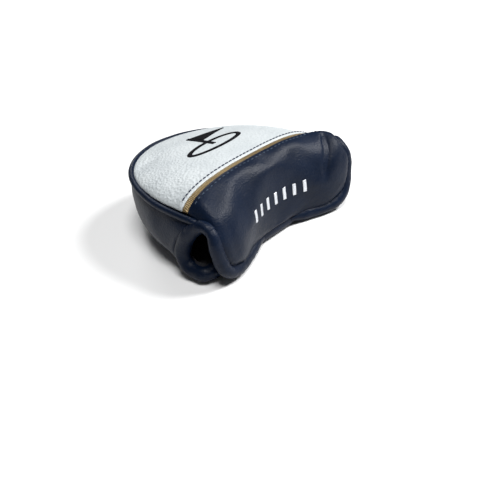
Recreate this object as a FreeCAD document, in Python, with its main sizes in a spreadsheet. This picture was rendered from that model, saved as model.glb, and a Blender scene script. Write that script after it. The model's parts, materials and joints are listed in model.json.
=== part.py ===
"""Putter head cover for a mallet putter, shown sole up with its front flap closed.

A padded pouch of leather, foam and plush opens towards -Y. A front flap hangs over the mouth from a
fold below the crown, and ends in a tongue that tucks under the pouch and is held there by magnets.
+X runs along the face towards the toe, -Y is the face side and +Z is up; the underside rests on Z = 0.
Every wall is three layers, so the model is made from nested copies of one outer form, and each
piece is one layer of that form cut to its own zone.
"""
import FreeCAD, Part
import math
import os

doc = FreeCAD.newDocument("PutterHeadCover")

# ---------------------------------------------------------------- driving dimensions, millimetres
DRIVING_SIZES = [
    ("half_width", 66.0, "half the pouch's width outside the leather"),
    ("front_reach", 61.0, "from the origin forward to the flap's corners"),
    ("rear_start", 2.0, "Y where the straight sides turn into the rear curve"),
    ("rear_depth", 65.0, "depth of the rear curve"),
    ("leather_thick", 1.4, "outer leather"),
    ("foam_thick", 5.0, "padding"),
    ("plush_thick", 2.6, "plush lining"),
    ("thread_proud", 0.4, "how far embroidery and topstitching stand out of the leather"),
    ("crown_across", 112.0, "crown dome, half axis along X"),
    ("crown_along", 165.0, "crown dome, half axis along Y"),
    ("crown_rise", 65.0, "crown dome, half axis along Z"),
    ("crown_mid_y", -25.0, "crown dome, centre"),
    ("crown_mid_z", -2.0, "crown dome, centre"),
    ("nose_radius", 33.0, "roll from the crown down to the face"),
    ("nose_mid_z", 28.5, "height of the roll's axis"),
    ("nose_slope", 20.0, "degrees the roll's top tangent rises to the rear"),
    ("face_radius", 156.0, "the face is hollow between its two corners, seen from above"),
    ("face_mid_y", -51.0, "the face's middle, at its deepest"),
    ("seam_height", 46.4, "height of the piping at Y = 0"),
    ("seam_tilt", 3.6, "degrees the piping rises to the rear"),
    ("piping_radius", 2.3, "piping cord with its cover"),
    ("piping_out", 1.0, "piping centre line outside the leather"),
    ("strip_back", -30.5, "accent strip, rear edge"),
    ("strip_width", 5.0, "accent strip"),
    ("stitch_setback", 2.2, "topstitch beside the strip"),
    ("thread_width", 0.8, "topstitch thread"),
    ("mouth_y", -40.0, "front of the pouch's mouth"),
    ("binding_deep", 5.0, "rolled binding round the mouth, front to back"),
    ("binding_proud", 3.0, "how far the binding bulges past the side walls"),
    ("binding_round", 9.0, "rounding of the binding's lower corners"),
    ("mouth_top", 42.0, "top of the mouth's bindings, where the slits end"),
    ("notch_y", -44.0, "middle of the round notch for the shaft, at each end"),
    ("notch_z", 21.0, "height of that notch's middle"),
    ("notch_radius", 14.0, "inside of the notch"),
    ("notch_binding", 8.0, "rolled binding round the notch"),
    ("notch_long", 25.0, "how far the notch reaches in from the end, along X"),
    ("fold_z", 44.0, "height of the front flap's fold"),
    ("fold_y", -57.4, "the fold lies just outside the leather"),
    ("fold_gap", 0.5, "clearance each side of a fold"),
    ("flap_bottom", 5.8, "lowest edge of the flap"),
    ("flap_round", 20.0, "rounding of the flap's lower corners"),
    ("flap_binding", 5.0, "rolled binding round the flap's lobes"),
    ("tongue_half", 18.5, "half the tongue's width"),
    ("tongue_front", -50.8, "tongue, front edge"),
    ("tongue_tip", -8.0, "tongue, rear edge"),
    ("tongue_low", 0.3, "underside of the closed tongue"),
    ("tongue_round", 8.0, "rounding of the tongue's tip"),
    ("tongue_core", 1.8, "stiffener inside the tongue"),
    ("facing_thick", 1.2, "plush facing of the tongue"),
    ("recess_half", 21.0, "half the width of the hollow that takes the tongue"),
    ("recess_back", -5.0, "rear end of that hollow"),
    ("recess_deep", 5.4, "depth of that hollow"),
    ("magnet_radius", 5.0, "closure magnets"),
    ("magnet_thick", 1.6, "closure magnets"),
    ("magnet_pitch", 11.0, "spacing of the three magnets along X"),
    ("magnet_y", -18.0, "row of magnets"),
    ("tall", 90.0, "height of the forms before they are trimmed"),
    ("wide", 180.0, "span of cutting blocks"),
    ("emblem_y", 20.0, "middle of the emblem on the crown"),
    ("emblem_tall", 44.0, "emblem, along Y"),
    ("emblem_line", 4.0, "width of the emblem's embroidered lines"),
    ("hole_long", 50.0, "the emblem's hole, along X"),
    ("hole_short", 21.0, "the emblem's hole, along Y"),
    ("flag_drop", 18.0, "the emblem's flag, along its pole"),
    ("flag_long", 28.0, "the emblem's flag, away from its pole"),
    ("motif_low", 27.0, "bottom of the front motif's bars"),
    ("motif_tall", 9.0, "height of the front motif's bars"),
    ("motif_pitch", 8.4, "spacing of the bars"),
    ("motif_bar", 3.0, "width of a bar"),
]
sheet = doc.addObject("Spreadsheet::Sheet", "Sizes")
for row, (alias, value, note) in enumerate(DRIVING_SIZES, start=1):
    sheet.set("A%d" % row, alias.replace("_", " "))
    sheet.set("B%d" % row, str(value))
    sheet.set("C%d" % row, note)
    sheet.setAlias("B%d" % row, alias)
doc.recompute()

WALL = "(Sizes.leather_thick + Sizes.foam_thick + Sizes.plush_thick)"
# How far each level lies inside the outer leather; thread stands outside it.
LEVELS = {
    "thread": "-Sizes.thread_proud",
    "skin": "0",
    "foam": "Sizes.leather_thick",
    "plush": "(Sizes.leather_thick + Sizes.foam_thick)",
    "hollow": WALL,
}


# ---------------------------------------------------------------- helpers
def size(alias):
    """A driving dimension as a number, for shapes made in code."""
    return float(sheet.get(alias))


def made(kind, name, **expressions):
    """A document object whose properties are bound to the sheet. x, y, z place it."""
    obj = doc.addObject(kind, name)
    for key, expression in expressions.items():
        prop = "Placement.Base." + key if key in ("x", "y", "z") else key
        obj.setExpression(prop, expression)
    return obj


def block(name, low, high):
    """A box between two corners given as expressions."""
    return made(
        "Part::Box", name,
        Length="(%s) - (%s)" % (high[0], low[0]),
        Width="(%s) - (%s)" % (high[1], low[1]),
        Height="(%s) - (%s)" % (high[2], low[2]),
        x=low[0], y=low[1], z=low[2],
    )


def common(name, *shapes):
    obj = doc.addObject("Part::MultiCommon", name)
    obj.Shapes = list(shapes)
    return obj


def fuse(name, *shapes):
    obj = doc.addObject("Part::MultiFuse", name)
    obj.Shapes = list(shapes)
    return obj


def cut(name, base, tool):
    obj = doc.addObject("Part::Cut", name)
    obj.Base = base
    obj.Tool = tool
    return obj


def rounded(name, base, radius, is_wanted):
    """Fillets the edges of base whose end points satisfy is_wanted."""
    doc.recompute()
    obj = doc.addObject("Part::Fillet", name)
    obj.Base = base
    edges = []
    for number, edge in enumerate(base.Shape.Edges, start=1):
        if len(edge.Vertexes) == 2 and is_wanted(edge.Vertexes[0].Point, edge.Vertexes[1].Point):
            edges.append((number, radius, radius))
    obj.Edges = edges
    return obj


pieces = []


def piece(name, obj):
    """Names obj as a sub-part of the cover."""
    obj.Label = name
    pieces.append(obj)
    return obj


# ---------------------------------------------------------------- nested forms
def plan_form(level, inset, bottom):
    """Upright prism of the D-shaped plan, with straight sides and an elliptical rear."""
    sides = block(
        "PlanSides_" + level,
        ("-(Sizes.half_width - %s)" % inset, "-(Sizes.front_reach - %s)" % inset, bottom),
        ("Sizes.half_width - %s" % inset, "Sizes.rear_start", "Sizes.tall"),
    )
    curve = made(
        "Part::Ellipse", "RearCurve_" + level,
        MajorRadius="Sizes.half_width - %s" % inset,
        MinorRadius="Sizes.rear_depth - %s" % inset,
        y="Sizes.rear_start", z=bottom,
    )
    rear = made("Part::Extrusion", "Rear_" + level, LengthFwd="Sizes.tall - %s" % bottom)
    rear.Base = curve
    rear.DirMode = "Custom"
    rear.Dir = FreeCAD.Vector(0, 0, 1)
    rear.Solid = True
    return fuse("Plan_" + level, sides, rear)


def nose_form(level, inset):
    """Everything behind the face and under the roll that leads up to the crown."""
    axis_y = "-Sizes.front_reach + Sizes.nose_radius"
    low = block(
        "NoseLow_" + level,
        ("-Sizes.wide / 2", "-(Sizes.front_reach - %s)" % inset, inset),
        ("Sizes.wide / 2", "Sizes.wide / 2", "Sizes.nose_mid_z"),
    )
    roll = made(
        "Part::Cylinder", "NoseRoll_" + level,
        Radius="Sizes.nose_radius - %s" % inset, Height="Sizes.wide",
        x="-Sizes.wide / 2", y=axis_y, z="Sizes.nose_mid_z",
    )
    roll.Placement.Rotation = FreeCAD.Rotation(FreeCAD.Vector(0, 1, 0), 90)
    roof = made(
        "Part::Box", "NoseRoof_" + level,
        Length="Sizes.wide", Width="Sizes.wide", Height="Sizes.nose_radius - %s" % inset,
        x="-Sizes.wide / 2", y=axis_y, z="Sizes.nose_mid_z",
    )
    roof.Placement.Rotation = FreeCAD.Rotation(FreeCAD.Vector(1, 0, 0), size("nose_slope"))
    under = block(
        "NoseUnder_" + level,
        ("-Sizes.wide / 2", axis_y, "Sizes.nose_mid_z - 1"),
        ("Sizes.wide / 2", "Sizes.wide / 2", "Sizes.nose_mid_z + Sizes.nose_radius - %s" % inset),
    )
    rear = block(
        "NoseRear_" + level,
        ("-Sizes.wide / 2", "0", "Sizes.nose_mid_z"),
        ("Sizes.wide / 2", "Sizes.wide / 2", "Sizes.tall"),
    )
    return fuse("Nose_" + level, low, roll, roof, under, rear)


def dome_form(level, inset):
    """Crown dome, a very large ellipsoid."""
    return made(
        "Part::Ellipsoid", "Dome_" + level,
        Radius1="Sizes.crown_rise - %s" % inset,
        Radius2="Sizes.crown_across - %s" % inset,
        Radius3="Sizes.crown_along - %s" % inset,
        y="Sizes.crown_mid_y", z="Sizes.crown_mid_z",
    )


def face_cutter(level, inset):
    """Upright drum in front of the cover, which hollows the face."""
    return made(
        "Part::Cylinder", "FaceDrum_" + level,
        Radius="Sizes.face_radius + %s" % inset, Height="Sizes.tall * 2",
        y="Sizes.face_mid_y - Sizes.face_radius", z="-Sizes.tall / 2",
    )


def recess_cutter(level, inset):
    """Hollow under the pouch that takes the closed tongue."""
    return block(
        "Recess_" + level,
        ("-(Sizes.recess_half + %s)" % inset, "-Sizes.wide / 2", "-Sizes.tall / 2"),
        (
            "Sizes.recess_half + %s" % inset,
            "Sizes.recess_back + %s" % inset,
            "Sizes.recess_deep + %s" % inset,
        ),
    )


drums = {}
recesses = {}
forms = {}
for level_name, level_inset in LEVELS.items():
    drums[level_name] = face_cutter(level_name, level_inset)
    recesses[level_name] = recess_cutter(level_name, level_inset)
    body = common(
        "Body_" + level_name,
        plan_form(level_name, level_inset, level_inset),
        nose_form(level_name, level_inset),
        dome_form(level_name, level_inset),
    )
    cutters = fuse("Cutters_" + level_name, drums[level_name], recesses[level_name])
    forms[level_name] = cut("Form_" + level_name, body, cutters)

thread_layer = cut("ThreadLayer", forms["thread"], forms["skin"])
leather_layer = cut("LeatherLayer", forms["skin"], forms["foam"])
foam_layer = cut("FoamLayer", forms["foam"], forms["plush"])
plush_layer = cut("PlushLayer", forms["plush"], forms["hollow"])
whole_wall = cut("WholeWall", forms["skin"], forms["hollow"])

# ---------------------------------------------------------------- zones
above_seam = made(
    "Part::Box", "AboveSeam",
    Length="Sizes.wide", Width="Sizes.wide", Height="Sizes.tall",
    x="-Sizes.wide / 2",
    y="-Sizes.wide / 2 * cos(Sizes.seam_tilt)",
    z="Sizes.seam_height - Sizes.wide / 2 * sin(Sizes.seam_tilt)",
)
above_seam.Placement.Rotation = FreeCAD.Rotation(FreeCAD.Vector(1, 0, 0), size("seam_tilt"))
front_low = block(
    "FrontLow",
    ("-Sizes.wide / 2", "-Sizes.wide / 2", "-Sizes.tall / 2"),
    ("Sizes.wide / 2", "Sizes.mouth_y + Sizes.binding_deep", "Sizes.fold_z + Sizes.fold_gap / 2"),
)
top_zone = cut("TopZone", above_seam, front_low)
pouch_space = block(
    "PouchSpace",
    ("-Sizes.wide / 2", "Sizes.mouth_y + Sizes.binding_deep", "-Sizes.tall / 2"),
    ("Sizes.wide / 2", "Sizes.wide / 2", "Sizes.tall"),
)
pouch_zone = cut("PouchZone", pouch_space, above_seam)


def across(name, low_y, high_y):
    """A slice of the whole width between two Y values."""
    return block(name, ("-Sizes.wide / 2", low_y, "0"), ("Sizes.wide / 2", high_y, "Sizes.tall"))


behind_strip = across("BehindStrip", "Sizes.strip_back", "Sizes.wide / 2")
on_strip = across("OnStrip", "Sizes.strip_back - Sizes.strip_width", "Sizes.strip_back")
before_strip = across("BeforeStrip", "-Sizes.wide / 2", "Sizes.strip_back - Sizes.strip_width")
left_half = block(
    "LeftHalf",
    ("-Sizes.wide / 2", "-Sizes.wide / 2", "-Sizes.tall / 2"),
    ("0", "Sizes.wide / 2", "Sizes.tall"),
)
right_half = block(
    "RightHalf",
    ("0", "-Sizes.wide / 2", "-Sizes.tall / 2"),
    ("Sizes.wide / 2", "Sizes.wide / 2", "Sizes.tall"),
)


# ---------------------------------------------------------------- piping round the crown
def piping_shape():
    """Round cord along the crown seam, from one slit round the rear to the other."""
    reach = size("half_width") + size("piping_out")
    depth = size("rear_depth") + size("piping_out")
    turn_y = size("rear_start")
    start_y = size("mouth_y") - size("binding_deep")
    right_end = FreeCAD.Vector(reach, start_y, 0)
    right_turn = FreeCAD.Vector(reach, turn_y, 0)
    left_turn = FreeCAD.Vector(-reach, turn_y, 0)
    left_end = FreeCAD.Vector(-reach, start_y, 0)
    ellipse = Part.Ellipse(FreeCAD.Vector(0, turn_y, 0), reach, depth)
    rear = Part.ArcOfEllipse(ellipse, 0, math.pi).toShape()
    path = Part.Wire([
        Part.LineSegment(right_end, right_turn).toShape(),
        rear,
        Part.LineSegment(left_turn, left_end).toShape(),
    ])
    ring = Part.makeCircle(size("piping_radius"), right_end, FreeCAD.Vector(0, 1, 0))
    return path.makePipeShell([Part.Wire([ring])], True, False)


piping = doc.addObject("Part::Feature", "CrownPiping")
piping.Shape = piping_shape()
piping.Placement = FreeCAD.Placement(
    FreeCAD.Vector(0, 0, size("seam_height")),
    FreeCAD.Rotation(FreeCAD.Vector(1, 0, 0), size("seam_tilt")),
)
piece("crown_piping", piping)

# ---------------------------------------------------------------- crown and front top
leather_top = cut("LeatherTop", common("LeatherTopRaw", leather_layer, top_zone), piping)
piece("crown_panel", common("CrownPanel", leather_top, behind_strip))
piece("accent_strip", common("AccentStrip", leather_top, on_strip))
piece("front_panel_top", common("FrontPanelTop", leather_top, before_strip))
piece("crown_foam", common("CrownFoam", foam_layer, top_zone))
piece("crown_lining", common("CrownLining", plush_layer, top_zone))

# ---------------------------------------------------------------- shaft notches, one at each end
def notch_pair(name, extra):
    """Two short drums along X, one through each side wall at the mouth."""
    drums_at_ends = []
    for side, start_x in (("Left", "-Sizes.half_width - Sizes.notch_long / 2"),
                          ("Right", "Sizes.half_width - Sizes.notch_long / 2")):
        drum = made(
            "Part::Cylinder", name + side,
            Radius="Sizes.notch_radius + %s" % extra, Height="Sizes.notch_long",
            x=start_x, y="Sizes.notch_y", z="Sizes.notch_z",
        )
        drum.Placement.Rotation = FreeCAD.Rotation(FreeCAD.Vector(0, 1, 0), 90)
        drums_at_ends.append(drum)
    return fuse(name, *drums_at_ends)


notch = notch_pair("Notch", "0")
notch_rim = notch_pair("NotchRim", "Sizes.notch_binding")

# ---------------------------------------------------------------- pouch walls and underside
floor_slab = block(
    "FloorSlab",
    ("-Sizes.wide / 2", "-Sizes.wide / 2", "-1"),
    ("Sizes.wide / 2", "Sizes.wide / 2", "Sizes.recess_deep + %s + 1" % WALL),
)
LAYERS = [
    ("panel", leather_layer, LEVELS["foam"]),
    ("foam", foam_layer, LEVELS["plush"]),
    ("lining", plush_layer, LEVELS["hollow"]),
]
underside_raw = {}
for layer_name, layer, inner_inset in LAYERS:
    in_pouch = cut("PouchRaw_" + layer_name, common("PouchAll_" + layer_name, layer, pouch_zone), notch_rim)
    if layer_name == "panel":
        in_pouch = cut("PouchSkin", in_pouch, piping)
    floor_plan = plan_form("floor_" + layer_name, inner_inset, "-1")
    floor_zone = common("FloorZone_" + layer_name, floor_slab, floor_plan)
    underside_raw[layer_name] = common("Underside_" + layer_name, in_pouch, floor_zone)
    walls = cut("Walls_" + layer_name, in_pouch, floor_zone)
    piece("wall_%s_left" % layer_name, common("WallLeft_" + layer_name, walls, left_half))
    piece("wall_%s_right" % layer_name, common("WallRight_" + layer_name, walls, right_half))
recess_zone = block(
    "RecessZone",
    ("-(Sizes.recess_half + Sizes.leather_thick)", "-Sizes.wide / 2", "0"),
    (
        "Sizes.recess_half + Sizes.leather_thick",
        "Sizes.recess_back + Sizes.leather_thick",
        "Sizes.recess_deep + Sizes.leather_thick",
    ),
)
piece("underside_panel", cut("UndersidePanel", underside_raw["panel"], recess_zone))
piece("recess_panel", common("RecessPanel", underside_raw["panel"], recess_zone))
piece("underside_lining", underside_raw["lining"])


def magnet_row(name, low_z):
    """Three disc magnets side by side along X."""
    discs = []
    for step in (-1, 0, 1):
        discs.append(made(
            "Part::Cylinder", "%s_%d" % (name, step + 2),
            Radius="Sizes.magnet_radius", Height="Sizes.magnet_thick",
            x="Sizes.magnet_pitch * %d" % step, y="Sizes.magnet_y", z=low_z,
        ))
    row_of_discs = doc.addObject("Part::Compound", name)
    row_of_discs.Links = discs
    return row_of_discs


keeper_magnets = magnet_row("KeeperMagnets", "Sizes.recess_deep + Sizes.leather_thick")
piece("keeper_magnets", keeper_magnets)
piece("underside_foam", cut("UndersideFoam", underside_raw["foam"], keeper_magnets))

# ---------------------------------------------------------------- rolled binding round the mouth
binding_block = block(
    "BindingBlock",
    ("-(Sizes.half_width + Sizes.binding_proud)", "Sizes.mouth_y", "0"),
    ("Sizes.half_width + Sizes.binding_proud", "Sizes.mouth_y + Sizes.binding_deep", "Sizes.mouth_top"),
)
doc.recompute()
binding_bar = rounded(
    "BindingBar", binding_block, size("binding_round"),
    lambda start, end: start.z < 0.1 and end.z < 0.1 and abs(start.x - end.x) < 0.1,
)
notch_ring = common("NotchRing", whole_wall, pouch_zone, notch_rim)
binding_holes = fuse("BindingHoles", forms["hollow"], recesses["skin"], notch, piping)
mouth_binding = cut("MouthBinding", fuse("MouthBindingFull", binding_bar, notch_ring), binding_holes)
piece("mouth_binding_left", common("MouthBindingLeft", mouth_binding, left_half))
piece("mouth_binding_right", common("MouthBindingRight", mouth_binding, right_half))


# ---------------------------------------------------------------- front flap
def flap_outline(name, inset):
    """Upright plate with rounded lower corners, deep enough to hold the flap's whole thickness."""
    plate = block(
        name + "Plate",
        ("-(Sizes.half_width - %s)" % inset, "-Sizes.wide / 2", "Sizes.flap_bottom + %s" % inset),
        ("Sizes.half_width - %s" % inset, "0", "Sizes.fold_z - Sizes.fold_gap / 2"),
    )
    plain_inset = 0.0 if inset == "0" else size("flap_binding")
    low_z = size("flap_bottom") + plain_inset
    return rounded(
        name, plate, size("flap_round") - plain_inset,
        lambda start, end: abs(start.z - low_z) < 0.1 and abs(end.z - low_z) < 0.1
        and abs(start.x - end.x) < 0.1,
    )


flap_whole = common("FlapWhole", flap_outline("FlapOuter", "0"), drums["hollow"])
flap_neck = block(
    "FlapNeck",
    ("-Sizes.tongue_half", "-Sizes.wide / 2", "Sizes.flap_bottom"),
    ("Sizes.tongue_half", "0", "Sizes.fold_z - Sizes.fold_gap / 2"),
)
flap_inner = fuse("FlapInnerZone", flap_outline("FlapInner", "Sizes.flap_binding"), flap_neck)
flap_core = common("FlapCore", flap_whole, flap_inner)
flap_rim = cut("FlapRim", flap_whole, flap_inner)
piece("flap_panel", common("FlapPanel", leather_layer, flap_core))
piece("flap_foam", common("FlapFoam", foam_layer, flap_core))
piece("flap_lining", common("FlapLining", plush_layer, flap_core))
rim_binding = common("FlapBinding", whole_wall, flap_rim)
piece("flap_binding_left", common("FlapBindingLeft", rim_binding, left_half))
piece("flap_binding_right", common("FlapBindingRight", rim_binding, right_half))


# ---------------------------------------------------------------- closure tongue
def tongue_layer(name, low_z, high_z):
    """One layer of the tongue, with a rounded tip."""
    slab = block(
        name + "Slab",
        ("-Sizes.tongue_half", "Sizes.tongue_front", low_z),
        ("Sizes.tongue_half", "Sizes.tongue_tip", high_z),
    )
    tip_y = size("tongue_tip")
    return rounded(
        name, slab, size("tongue_round"),
        lambda start, end: abs(start.y - tip_y) < 0.1 and abs(end.y - tip_y) < 0.1
        and abs(start.x - end.x) < 0.1,
    )


CORE_LOW = "Sizes.tongue_low + Sizes.leather_thick"
CORE_HIGH = CORE_LOW + " + Sizes.tongue_core"
piece("tongue_panel", tongue_layer("TonguePanel", "Sizes.tongue_low", CORE_LOW))
tongue_magnets = magnet_row("TongueMagnets", CORE_LOW + " + 0.1")
piece("tongue_magnets", tongue_magnets)
tongue_core = tongue_layer("TongueCore", CORE_LOW, CORE_HIGH)
piece("tongue_stiffener", cut("TongueStiffener", tongue_core, tongue_magnets))
piece("tongue_facing", tongue_layer("TongueFacing", CORE_HIGH, CORE_HIGH + " + Sizes.facing_thick"))

# ---------------------------------------------------------------- topstitching
crown_row = across(
    "CrownStitchRow",
    "Sizes.strip_back + Sizes.stitch_setback",
    "Sizes.strip_back + Sizes.stitch_setback + Sizes.thread_width",
)
front_row = across(
    "FrontStitchRow",
    "Sizes.strip_back - Sizes.strip_width - Sizes.stitch_setback - Sizes.thread_width",
    "Sizes.strip_back - Sizes.strip_width - Sizes.stitch_setback",
)
thread_top = cut("ThreadTop", common("ThreadTopRaw", thread_layer, top_zone), piping)
piece("crown_topstitch", common("CrownTopstitch", thread_top, crown_row))
piece("front_topstitch", common("FrontTopstitch", thread_top, front_row))

# ---------------------------------------------------------------- emblem: a golf flag over its hole
emblem_low = "Sizes.emblem_y - Sizes.emblem_tall / 2"
emblem_high = "Sizes.emblem_y + Sizes.emblem_tall / 2"


def emblem_oval(name, inset):
    """Upright prism of the hole's oval, smaller by inset."""
    oval = made(
        "Part::Ellipse", name + "Curve",
        MajorRadius="Sizes.hole_long / 2 - %s" % inset,
        MinorRadius="Sizes.hole_short / 2 - %s" % inset,
        y=emblem_low + " + Sizes.hole_short / 2", z="0",
    )
    prism = made("Part::Extrusion", name, LengthFwd="Sizes.tall")
    prism.Base = oval
    prism.DirMode = "Custom"
    prism.Dir = FreeCAD.Vector(0, 0, 1)
    prism.Solid = True
    return prism


hole_ring = cut("EmblemHole", emblem_oval("HoleOuter", "0"), emblem_oval("HoleInner", "Sizes.emblem_line"))
pole = block(
    "EmblemPole",
    ("-Sizes.emblem_line / 2", emblem_low + " + Sizes.hole_short / 2", "0"),
    ("Sizes.emblem_line / 2", emblem_high, "Sizes.tall"),
)
flag = made(
    "Part::Wedge", "EmblemFlag",
    Xmin="0", Xmax="Sizes.flag_drop", Ymin="0", Ymax="Sizes.flag_long", Zmin="0", Zmax="Sizes.tall",
    X2min="Sizes.flag_drop * 0.45", X2max="Sizes.flag_drop * 0.55", Z2min="0", Z2max="Sizes.tall",
    x="Sizes.emblem_line / 2", y=emblem_high, z="0",
)
flag.Placement.Rotation = FreeCAD.Rotation(FreeCAD.Vector(0, 0, 1), -90)
piece("crown_emblem", common("CrownEmblem", thread_top, fuse("EmblemZone", pole, flag, hole_ring)))

# ---------------------------------------------------------------- front motif: seven upright bars
MOTIF_BARS = 7
bars = []
for number in range(MOTIF_BARS):
    middle = "Sizes.motif_pitch * %g" % (number - (MOTIF_BARS - 1) / 2)
    bars.append(block(
        "MotifBar_%d" % (number + 1),
        (middle + " - Sizes.motif_bar / 2", "-Sizes.wide / 2", "Sizes.motif_low"),
        (middle + " + Sizes.motif_bar / 2", "-Sizes.wide / 4", "Sizes.motif_low + Sizes.motif_tall"),
    ))
motif_zone = doc.addObject("Part::Compound", "MotifZone")
motif_zone.Links = bars
piece("flap_motif", common("FlapMotif", thread_layer, motif_zone))

# ---------------------------------------------------------------- checks and files
doc.recompute()
for obj in doc.Objects:
    if "Invalid" in obj.State or "Error" in obj.State:
        raise SystemExit("%s did not compute: %s" % (obj.Name, obj.State))
for obj in pieces:
    if obj.Shape.isNull() or not obj.Shape.isValid() or not obj.Shape.Solids:
        raise SystemExit("%s has no valid solid" % obj.Label)

os.makedirs("parts", exist_ok=True)
for obj in pieces:
    obj.Shape.exportStep("parts/%s.step" % obj.Label)
    box = obj.Shape.optimalBoundingBox(False)
    print("%-22s %d solid(s) %9.1f mm3  X %6.1f %6.1f  Y %6.1f %6.1f  Z %5.1f %5.1f" % (
        obj.Label, len(obj.Shape.Solids), obj.Shape.Volume,
        box.XMin, box.XMax, box.YMin, box.YMax, box.ZMin, box.ZMax,
    ))
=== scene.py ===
"""Putter head cover, closed: padded leather pouch, front flap with two lobes and a tongue underneath.

Lengths below are millimetres in the CAD frame until a mesh is made, which is in metres. The seams, folds
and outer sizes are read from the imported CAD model; the padded surfaces between them are sculpted here.
"""
import json
import math

import bmesh
import bpy
import numpy as np
from mathutils import Matrix, Vector, noise


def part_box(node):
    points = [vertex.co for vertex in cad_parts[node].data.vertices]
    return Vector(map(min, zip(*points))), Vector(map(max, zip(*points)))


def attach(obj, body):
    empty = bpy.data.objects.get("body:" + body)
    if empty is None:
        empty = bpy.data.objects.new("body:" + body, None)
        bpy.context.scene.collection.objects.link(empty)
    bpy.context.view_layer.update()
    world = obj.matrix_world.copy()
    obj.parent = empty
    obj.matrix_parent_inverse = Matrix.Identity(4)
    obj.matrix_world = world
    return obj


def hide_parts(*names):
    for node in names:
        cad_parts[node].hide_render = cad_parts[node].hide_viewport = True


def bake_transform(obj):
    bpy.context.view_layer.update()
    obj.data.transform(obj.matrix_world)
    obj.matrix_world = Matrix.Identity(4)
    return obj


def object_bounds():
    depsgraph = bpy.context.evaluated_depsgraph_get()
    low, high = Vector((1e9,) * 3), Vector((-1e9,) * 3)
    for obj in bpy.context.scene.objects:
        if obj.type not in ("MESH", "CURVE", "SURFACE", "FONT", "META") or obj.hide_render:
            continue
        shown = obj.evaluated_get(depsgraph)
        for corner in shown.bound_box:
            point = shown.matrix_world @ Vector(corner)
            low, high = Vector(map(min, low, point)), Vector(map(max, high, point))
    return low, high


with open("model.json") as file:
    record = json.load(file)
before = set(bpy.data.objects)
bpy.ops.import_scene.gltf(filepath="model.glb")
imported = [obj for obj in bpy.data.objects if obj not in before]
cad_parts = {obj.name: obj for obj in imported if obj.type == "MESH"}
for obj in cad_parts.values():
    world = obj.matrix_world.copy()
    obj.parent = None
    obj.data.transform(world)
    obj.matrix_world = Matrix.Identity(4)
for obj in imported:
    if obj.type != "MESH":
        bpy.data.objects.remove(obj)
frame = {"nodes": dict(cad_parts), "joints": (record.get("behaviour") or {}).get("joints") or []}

CAD_BOX = [list(corner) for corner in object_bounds()]
MM = 0.001


# ------------------------------------------------------------------ sizes read from the CAD model
def low(name):
    """Lowest corner of a CAD node's box, in millimetres."""
    return 1000 * np.array(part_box(name)[0])


def high(name):
    """Highest corner of a CAD node's box, in millimetres."""
    return 1000 * np.array(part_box(name)[1])


JOINTS = {joint["name"]: joint for joint in frame["joints"]}
FOLD = 1000 * np.array(JOINTS["front_flap"]["pos_m"])
TONGUE_FOLD = 1000 * np.array(JOINTS["tongue_fold"]["pos_m"])
HALF = high("wall_panel_right")[0]               # half the width over the side walls
PIPE_RADIUS = 2.35
REAR = high("crown_piping")[1] - PIPE_RADIUS + 2.0       # Y of the crown seam at the rear centre
STRIP_FRONT = low("accent_strip")[1]
STRIP_REAR = high("accent_strip")[1]
TONGUE_HALF = high("tongue_panel")[0]
TONGUE_TIP = high("tongue_panel")[1]
TONGUE_LOW = low("tongue_panel")[2]
TONGUE_TOP = high("tongue_facing")[2]
RECESS_HALF = TONGUE_HALF + 2.5
RECESS_REAR = TONGUE_TIP + 3.0
RECESS_DEEP = TONGUE_TOP + 0.7

SIDES = {"left": -1, "right": 1}

# Layers of a wall, as depths below the outer surface.
LEATHER = (0.0, 1.3)
FOAM = (1.6, 6.1)
PLUSH = (6.4, 8.8)
LIP = LEATHER[1] - PLUSH[0]      # brings the plush's border up behind the leather, over the foam's edge

PLAN_MID = -26.0         # Y where the sides stop being straight
PLAN_POWER = 2.39        # squareness of the rear
SLIT_Y = FOLD[1] + 7.9   # the slits start here, on the piping
SLIT_X = HALF - 2.1      # and this far out
SEAM_AT_FRONT = low("crown_piping")[2] + PIPE_RADIUS - 0.2
SEAM_SLOPE = 0.062
CROWN_RISE = 13.5        # rise of the padded crown over its seam, at Y = 0
CROWN_TILT = -0.148      # and how that changes along Y
CROWN_POWER = 2.85       # flatness of its top
CROWN_EDGE = 0.5         # roundness of its edge, like a pillow's
CROWN_INSET = 0.6        # the crown stops this far inside the piping's centre line


# ------------------------------------------------------------------ small maths
def cubic(knots, values, at):
    """Natural cubic spline through values (first axis) at knots, evaluated at each of at."""
    knots = np.asarray(knots, float)
    values = np.asarray(values, float)
    count = len(knots)
    gaps = np.diff(knots)
    matrix = np.zeros((count, count))
    right = np.zeros_like(values)
    matrix[0, 0] = matrix[-1, -1] = 1
    for k in range(1, count - 1):
        matrix[k, k - 1] = gaps[k - 1]
        matrix[k, k] = 2 * (gaps[k - 1] + gaps[k])
        matrix[k, k + 1] = gaps[k]
        right[k] = 6 * ((values[k + 1] - values[k]) / gaps[k] - (values[k] - values[k - 1]) / gaps[k - 1])
    bends = np.linalg.solve(matrix, right.reshape(count, -1)).reshape(values.shape)
    at = np.clip(np.asarray(at, float), knots[0], knots[-1])
    cell = np.clip(np.searchsorted(knots, at, side="right") - 1, 0, count - 2)
    shape = (-1,) + (1,) * (values.ndim - 1)
    gap = gaps[cell].reshape(shape)
    after = ((at - knots[cell]) / gaps[cell]).reshape(shape)
    before = 1 - after
    return (
        before * values[cell] + after * values[cell + 1]
        + ((before ** 3 - before) * bends[cell] + (after ** 3 - after) * bends[cell + 1]) * gap ** 2 / 6
    )


def lengths_along(points):
    """Distance of each point from the first, along the line through them."""
    return np.concatenate([[0], np.cumsum(np.linalg.norm(np.diff(points, axis=0), axis=1))])


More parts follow.
